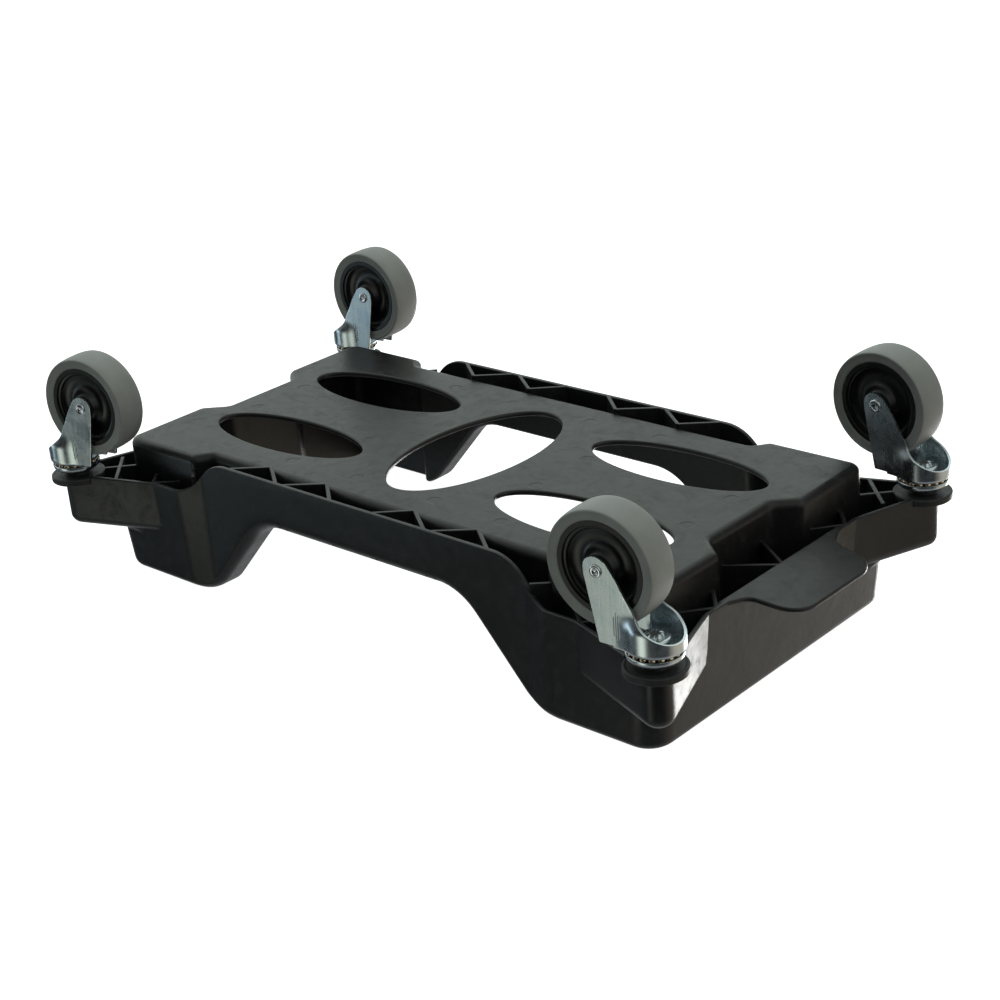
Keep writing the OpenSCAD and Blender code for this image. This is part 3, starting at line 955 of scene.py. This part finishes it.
def tread_mesh():
    half = [(HUB_R, 14.5), (HUB_R + 0.5, 15.0), (HUB_R + 1.6, 15.3), (44.0, 15.35), (46.6, 15.7)]
    middle = (WHEEL_R - TREAD_CROWN - TREAD_EDGE_R, TREAD_HALF - TREAD_EDGE_R)
    half += arc_points(middle, TREAD_EDGE_R, math.radians(86), math.radians(14), 8)
    half += [(WHEEL_R - TREAD_CROWN * (y / TREAD_HALF) ** 2, y) for y in (12.4, 10.0, 7.0, 3.5)]
    return lathe("tread", both_sides(half), "Y", (TRAIL, 0, AXLE_Z), 144)


def hub_mesh():
    half = [(6.36, 16.0), (6.8, 16.4), (10.6, 16.4), (11.8, 16.1), (12.9, 15.3), (13.9, 13.9)]
    half += [(14.9, 11.9), (16.2, 9.9), (18.0, 8.3), (20.5, 7.4), (24.0, 7.2), (27.5, 7.5), (30.6, 8.5)]
    half += [(32.2, 9.6), (32.9, 10.9), (33.2, 12.0), (33.7, 12.4), (35.0, 12.5), (35.4, 12.7)]
    half += [(35.7, 14.3), (36.1, 14.75), (39.9, 14.8), (HUB_R - 0.02, 14.5)]
    return lathe("hub", both_sides(half), "Y", (TRAIL, 0, AXLE_Z), 144)


def bumper_mesh():
    profile = rounded_profile([
        (5.6, 126.3, 0), (12.6, 126.3, 0.6), (13.0, 130.6, 1.2), (15.5, 131.3, 2), (23.6, 131.2, 2),
        (25.4, 130.5, 1), (27.2, 131.2, 1.4), (27.3, 137.1, 1.3), (5.6, 137.1, 0)])
    return lathe("bumper", profile)


def lower_race_mesh():
    """Pressed bowl that holds the outer balls, open towards the fork."""
    groove = arc_points((19.4, 118.25), 3.25, math.radians(125), math.radians(30), 10)
    profile = [(5.6, 122.2), (15.2, 122.2), (16.6, 121.6), *groove, (22.75, 119.0), (22.85, 118.55)]
    profile += [(23.3, 118.3), (23.75, 118.6), (23.85, 119.4), (23.7, 121.0), (23.1, 122.6)]
    profile += [(22.1, 123.9), (20.5, 125.1), (18.5, 125.8), (16.0, 126.15), (5.6, 126.2)]
    return lathe("lower_race", profile)


def kingpin_mesh():
    """Cup of the inner balls with the pressed end of the stem, crimped in eight petals."""
    shoulder = arc_points((11.6, 108.2), 2.4, math.radians(-90), 0, 5)
    hollow = arc_points((11.6, 108.8), 1.6, 0, math.radians(-90), 4)
    cup = [(0, 105.8), (4, 105.8), *shoulder, (14.0, 111.0), (13.8, 111.3), (13.4, 111.3), (13.2, 111.0)]
    piece = lathe("inner_race", [*cup, *hollow, (4, 107.2), (0, 107.2)])

    def petal(r, h, a):
        notch = max(0.0, math.cos(8 * a)) ** 3
        inward = smooth((r - 2.6) / 2) if h < 105.9 else 0.0
        return r - 0.9 * notch * inward * (r > 5), h + 1.1 * notch * inward

    head = [(0, 105.0), (2.6, 104.9), (3.2, 104.0), (3.9, 103.35), (5.1, 103.15), (6.6, 103.45), (7.8, 104.1)]
    head += [(8.5, 104.9), (8.7, 105.6), (8.2, 106.95), (0, 106.95)]
    boolean(piece, lathe("kingpin", head, wobble=petal), "UNION")
    return piece


def ball_ring(count, ring_r, radius, z):
    """Ring of separate balls, each a subdivided icosahedron."""
    bm = bmesh.new()
    for k in range(count):
        a = 2 * math.pi * (k + 0.5) / count
        place = Matrix.Translation((ring_r * math.cos(a), ring_r * math.sin(a), z))
        bmesh.ops.create_icosphere(bm, subdivisions=3, radius=radius, matrix=place)
    mesh = bpy.data.meshes.new("balls")
    bm.to_mesh(mesh)
    bm.free()
    return new_object("balls", mesh)


# Lower edge of the fork in side view, from its front lip back towards the wheel
FRONT_EDGE = [
    (-24.6, 105.0), (-20, 102.9), (-13, 99.0), (-5, 93.6), (0, 89.4), (3, 86.4), (8, 77.2), (14, 67.4),
    (18, 60.2)]


def front_edge_z(s):
    xs, zs = zip(*FRONT_EDGE)
    return float(np.interp(s, xs, zs))


# The sheet turns about WRAP_X; LEG_LINE lies just inside the legs' outer faces, so the solids join cleanly
WRAP_X, LEG_LINE = -5, 19.58
LIP_TURN, LIP_END = math.radians(114), math.radians(66)
LIP_BACK_X, LIP_BACK_SLOPE = 26.0, -0.445
BEND_Z, BEND_H = 82, 14
WRAP_TURN = math.pi / 2 * LEG_OUT
WRAP_FLARE = WRAP_TURN + 14.9
WRAP_LENGTH = WRAP_TURN + 31.0


def lip_point(run, x):
    """Where the sheet's lower edge lies: on the crown's circle, then easing back into the flat leg."""
    if run <= WRAP_FLARE:
        p = run / WRAP_FLARE
        phi = math.pi - p * LIP_TURN
        radius = CROWN_R - 0.05 + 1.5 * math.cos(math.pi / 2 * p) ** 2
        return Vector((math.cos(phi), math.sin(phi))) * radius
    start = Vector((math.cos(LIP_END), math.sin(LIP_END))) * (CROWN_R - 0.05)
    span = LIP_BACK_X - start.x
    u = min(1.0, (x - start.x) / span)
    slope = LIP_BACK_SLOPE * span
    y = start.y * (2 * u ** 3 - 3 * u ** 2 + 1) + LEG_LINE * (3 * u ** 2 - 2 * u ** 3)
    y += slope * (u ** 3 - 2 * u ** 2 + u)
    return Vector((x, y))


def wrap_ring(run, side):
    """One upright section of the bent sheet, run mm from its front."""
    if run < WRAP_TURN:
        a = math.pi - run / LEG_OUT
        inward = Vector((-math.cos(a), -math.sin(a)))
        plan = Vector((WRAP_X + LEG_OUT * math.cos(a), LEG_OUT * math.sin(a)))
    else:
        inward = Vector((0, -1))
        plan = Vector((WRAP_X + run - WRAP_TURN, LEG_LINE))
    lip = lip_point(run, plan.x)
    low = front_edge_z(plan.x)
    heights = [*np.linspace(LIP_Z, LIP_Z - 4.2, 8), *np.linspace(LIP_Z - 4.2, low + 0.45, 17)[1:]]

    def at(z, depth):
        curl = 2.2 * (1 - math.sqrt(max(0.0, 1 - (max(0.0, z - LIP_Z + 3.2) / 3.3) ** 2)))
        q = plan.lerp(lip, smooth((z - BEND_Z) / BEND_H)) + inward * (depth + curl)
        return (q.x, q.y * side, z)

    t = LEG_T - (0.04 if plan.x > 14.4 else 0)
    points = [at(z, 0) for z in heights]
    points += [at(low + 0.12, 0.12), at(low, 0.45), at(low, t - 0.45), at(low + 0.12, t - 0.12)]
    points += [at(z, t) for z in reversed(heights)]
    return points


def wrap_solid():
    stops = [WRAP_LENGTH * k / 36 for k in range(37)]
    rings = [wrap_ring(run, 1) for run in reversed(stops)] + [wrap_ring(run, -1) for run in stops[1:]]
    return stacked("wrap", rings)


LEG_OUTLINE = [
    (14.6, 66.4, 0), (20, 56.4, 30), (29.6, 42.6, 7), (38.5, 37.6, 11), (51.6, 41.8, 11), (50.6, 56, 20),
    (39.2, 112.6, 1.8), (27, 112.7, 12), (20, 113.9, 10), (14.6, 114.9, 0)]


def leg_solid(side):
    """One flat leg with rounded edges."""
    levels = [(0.45, 0), (0.12, 0.12), (0, 0.45), (0, LEG_T - 0.45), (0.12, LEG_T - 0.12), (0.45, LEG_T)]
    rings = []
    for inset, depth in levels:
        rings.append([(x, side * (LEG_OUT - depth), z) for x, z in outline(LEG_OUTLINE, inset, 9)])
    return stacked("leg", rings)


def groove_solid(s, side, low, high):
    """A slim lens that presses one shallow groove into the outside of a leg."""
    rings = []
    middle_y = LEG_OUT + 0.25
    for k in range(1, 12):
        a = math.pi * k / 12
        r = math.sin(a)
        z = (low + high) / 2 - (high - low) / 2 * math.cos(a)
        w = min(1, r * 1.6)
        rings.append([
            (s + 0.85 * w * math.cos(b), side * (middle_y + 0.75 * w * math.sin(b)), z)
            for b in np.linspace(0, 2 * math.pi, 12, endpoint=False)])
    return stacked("groove", rings)


def fork_mesh():
    track = arc_points((19.4, 118.25), 3.25, math.radians(-135), math.radians(-45), 8)
    crown = [(7.0, 112.4), (7.0, 115.4), (16.4, 115.4), *track, (22.2, 115.85), (22.9, 115.5), (23.7, 114.5)]
    crown += [(24.0, 113.4), (23.4, 112.6), (21.8, 112.3), (19.0, 112.2)]
    fork = lathe("fork", crown)
    boolean(fork, wrap_solid(), "UNION")
    for side in (1, -1):
        boolean(fork, leg_solid(side), "UNION")
    for side in (1, -1):
        for s, low, high in ((19.6, 84, 108), (21.8, 82, 106), (24.0, 86, 104)):
            boolean(fork, groove_solid(s, side, low, high), "DIFFERENCE")
    hole = lathe("hole", [(0, -40), (4.1, -40), (4.1, 40), (0, 40)], "Y", (TRAIL, 0, AXLE_Z), 48)
    boolean(fork, hole, "DIFFERENCE")
    return fork


def axle_mesh():
    """Rivet through wheel and legs: a formed head with a dimple at +Y, an end rolled in three at -Y."""
    out = LEG_OUT
    head = [(0, out + 0.55), (1.2, out + 0.65), (2.0, out + 1.0), (2.4, out + 1.5), (2.9, out + 1.75)]
    head += [(4.3, out + 1.75), (5.1, out + 1.5), (5.45, out + 1.0), (5.5, out + 0.02)]
    head += [(4.0, out + 0.02), (4.0, 0)]
    roll = [(4.0, -out - 0.02), (5.7, -out - 0.02), (6.1, -out - 0.5), (6.0, -out - 1.15), (5.4, -out - 1.7)]
    roll += [(4.5, -out - 1.85), (3.7, -out - 1.6), (3.2, -out - 1.0), (3.0, -out + 0.2), (2.9, -out + 1.6)]
    roll += [(2.2, -out + 2.1), (1.0, -out + 1.7), (0, -out + 1.5)]

    def cut(r, h, a):
        notch = smooth((math.cos(3 * a) - 0.9) / 0.06)
        return (r - 0.7 * notch * (r > 5.2), h + 1.2 * notch) if h < -out - 0.3 and r > 3.1 else (r, h)

    return lathe("axle", head + roll, "Y", (TRAIL, 0, AXLE_Z), 96, cut)


def yaw_of(name):
    """Rest direction of a corner's wheel, from the middles of its bumper and its tread."""
    low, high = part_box("tread_" + name)
    middle = (low + high) / 2 / MM
    return math.atan2(middle.y - STEMS[name].y, middle.x - STEMS[name].x)


def build_casters():
    metal, balls, steel, rivet = zinc(), ball_steel(), plain_steel(), rivet_steel()
    hub_black, grey_rubber, black_rubber = hub_plastic(), tread_rubber(), bumper_rubber()
    # piece, its master mesh, body, material, record slot, angle above which an edge is sharp
    pieces = [
        ("tread", tread_mesh(), "wheel_", grey_rubber, "tread_rubber", 35),
        ("hub", hub_mesh(), "wheel_", hub_black, "hub_plastic", 35),
        ("bumper", bumper_mesh(), "platform", black_rubber, "bumper_rubber", 40),
        ("lower_race", lower_race_mesh(), "platform", metal, "zinc", 35),
        ("inner_race", kingpin_mesh(), "platform", metal, "zinc", 40),
        ("fork", fork_mesh(), "caster_", metal, "zinc", 40),
        ("axle", axle_mesh(), "caster_", rivet, "axle_steel", 40),
        ("outer_balls", ball_ring(17, 19.4, 3.15, 118.25), "platform", balls, "ball_steel", 180),
        ("inner_balls", ball_ring(12, 9.8, 2.0, 110.3), "platform", balls, "ball_steel", 180),
    ]
    for part, master, body, material, slot_name, sharp in pieces:
        finished_mesh(master, sharp)
        paint(master, material)
        for name in CORNERS:
            piece = new_object(part + "_look_" + name, master.data)
            mod = piece.modifiers.new("normals", "WEIGHTED_NORMAL")
            mod.keep_sharp = True
            at = STEMS[name] * MM
            place = Matrix.Translation((at.x, at.y, 0)) @ Matrix.Rotation(yaw_of(name), 4, "Z")
            if part == "axle" and name == "front_left":
                middle = Matrix.Translation((TRAIL * MM, 0, 0))
                place = place @ middle @ Matrix.Rotation(math.pi, 4, "Z") @ middle.inverted()
            piece.matrix_world = place
            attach(piece, body if body == "platform" else body + name)
            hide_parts(part + "_" + name)
        bpy.data.objects.remove(master)
    for name in CORNERS:
        for part in ("stem", "grip_ring", "bushing"):
            paint(frame["nodes"][part + "_" + name], steel)


# ---------------------------------------------------------------- camera, floors and light

# The dolly lies wheels up, so the camera looks up at its underside from below the ground plane.
UNIT = 0.370
AZIMUTH, ELEVATION, ROLL = math.radians(-46.484), math.radians(23.436), math.radians(-4.717)
DISTANCE, TRACK_X, TRACK_Y = 5.1867, -0.0625, 0.1325
LENS_MM, SENSOR_MM = 71.84, 36.0


def flipped(v):
    return Vector((v.x, -v.y, -v.z))


def aim(azimuth, elevation):
    """Unit vector towards an azimuth and an elevation in radians."""
    flat = math.cos(elevation)
    return Vector((flat * math.cos(azimuth), flat * math.sin(azimuth), math.sin(elevation)))


def add_camera():
    back = aim(AZIMUTH, ELEVATION)
    right = Vector((0, 0, 1)).cross(back).normalized()
    up = back.cross(right)
    r = right * math.cos(ROLL) + up * math.sin(ROLL)
    u = up * math.cos(ROLL) - right * math.sin(ROLL)
    centre = (back * DISTANCE - r * TRACK_X - u * TRACK_Y) * UNIT
    place = flipped(centre) + Vector((-MID_X * MM, 0, FLOOR_Z * MM))
    data = bpy.data.cameras.new("camera")
    data.lens, data.sensor_width = LENS_MM, SENSOR_MM
    data.clip_start, data.clip_end = 0.05, 60
    cam = new_object("camera", data)
    axes = Matrix((flipped(r), flipped(u), flipped(back))).transposed()
    cam.matrix_world = Matrix.Translation(place) @ axes.to_4x4()
    bpy.context.scene.camera = cam


FLOOR_TONE, FLOOR_REACH = (0.8, 0.8, 0.8, 1), 90.0


def emission_floor(name, z, faces_up, glow_strength):
    """A pale floor that shows from one side only: one serves the wheels-up view, one the upright views."""
    verts = [(x * FLOOR_REACH, y * FLOOR_REACH, z) for x, y in ((-1, -1), (1, -1), (1, 1), (-1, 1))]
    mesh = bpy.data.meshes.new(name)
    mesh.from_pydata(verts, [], [(0, 1, 2, 3) if faces_up else (3, 2, 1, 0)])
    obj = new_object(name, mesh)
    mat = bpy.data.materials.new(name)
    mat.use_nodes = True
    nodes, links = mat.node_tree.nodes, mat.node_tree.links
    nodes.clear()
    kinds = ["OutputMaterial", "MixShader", "NewGeometry", "BsdfTransparent"]
    kinds += ["BsdfDiffuse", "Emission", "AddShader"]
    out, choose, geometry, clear, surface, glow, both = [nodes.new("ShaderNode" + kind) for kind in kinds]
    surface.inputs["Color"].default_value = FLOOR_TONE
    glow.inputs["Strength"].default_value = glow_strength
    links.new(surface.outputs[0], both.inputs[0])
    links.new(glow.outputs[0], both.inputs[1])
    links.new(geometry.outputs["Backfacing"], choose.inputs[0])
    links.new(both.outputs[0], choose.inputs[1])
    links.new(clear.outputs[0], choose.inputs[2])
    links.new(choose.outputs[0], out.inputs[0])
    mesh.materials.append(mat)
    obj.visible_shadow = False
    obj.visible_glossy = False
    obj.visible_diffuse = False


# Soft lights round the studio, in degrees: azimuth, elevation, half width, edge softness; then radiance
SKY_LIGHTS = [
    (-134, -24, 38, 30, (0.84, 0.94, 0.90)),
    (0, -90, 40, 34, (0.34, 0.36, 0.33)),
    (-42, 22, 26, 22, (0.50, 0.44, 0.36)),
    (106, 26, 13, 4, (1.05, 1.1, 0.95)),
    (144, 11, 8, 5, (1.1, 1.4, 1.55)),
    (-94, 24, 12, 5, (8.0, 8.0, 7.8)),
    (0, -30, 30, 20, (0.5, 0.53, 0.5)),
    (165, -24, 26, 18, (0.35, 0.36, 0.36)),
    (-134, 38, 30, 18, (0.4, 0.4, 0.41)),
    (0, 90, 40, 24, (0.3, 0.31, 0.32)),
]
SKY_BASE = (0.010, 0.011, 0.012)


def add_world():
    """White behind the object; for light and reflections, a dim studio with soft lights."""
    world = bpy.data.worlds.new("studio")
    bpy.context.scene.world = world
    world.use_nodes = True
    nodes, links = world.node_tree.nodes, world.node_tree.links
    direction = nodes.new("ShaderNodeTexCoord").outputs["Generated"]

    def vector_math(operation, source):
        made = nodes.new("ShaderNodeVectorMath")
        made.operation = operation
        links.new(source, made.inputs[0])
        return made

    total = None
    for azimuth, elevation, half, soft, colour in SKY_LIGHTS:
        dot = vector_math("DOT_PRODUCT", direction)
        dot.inputs[1].default_value = aim(math.radians(azimuth), math.radians(elevation))
        lobe = nodes.new("ShaderNodeMapRange")
        lobe.interpolation_type = "SMOOTHSTEP"
        lobe.inputs["From Min"].default_value = math.cos(math.radians(half + soft))
        lobe.inputs["From Max"].default_value = math.cos(math.radians(max(0, half - soft)))
        links.new(dot.outputs["Value"], lobe.inputs["Value"])
        scaled = nodes.new("ShaderNodeVectorMath")
        scaled.operation = "SCALE"
        scaled.inputs[0].default_value = colour
        links.new(lobe.outputs["Result"], scaled.inputs["Scale"])
        add = vector_math("ADD", scaled.outputs[0])
        if total is None:
            add.inputs[1].default_value = SKY_BASE
        else:
            links.new(total, add.inputs[1])
        total = add.outputs[0]
    sky = nodes["Background"]
    links.new(total, sky.inputs["Color"])
    white = nodes.new("ShaderNodeBackground")
    path = nodes.new("ShaderNodeLightPath")
    choose = nodes.new("ShaderNodeMixShader")
    links.new(path.outputs["Is Camera Ray"], choose.inputs[0])
    links.new(sky.outputs[0], choose.inputs[1])
    links.new(white.outputs[0], choose.inputs[2])
    white.inputs["Color"].default_value = (1, 1, 1, 1)
    white.inputs["Strength"].default_value = 1.0
    links.new(choose.outputs[0], nodes["World Output"].inputs["Surface"])


build_platform()
build_casters()
add_camera()
emission_floor("floor_upright", 0.0, True, 0.35)
emission_floor("floor_wheels_up", TOTAL_H * MM + 0.0005, False, 1.0)
add_world()
bpy.context.scene.view_settings.view_transform = "Standard"
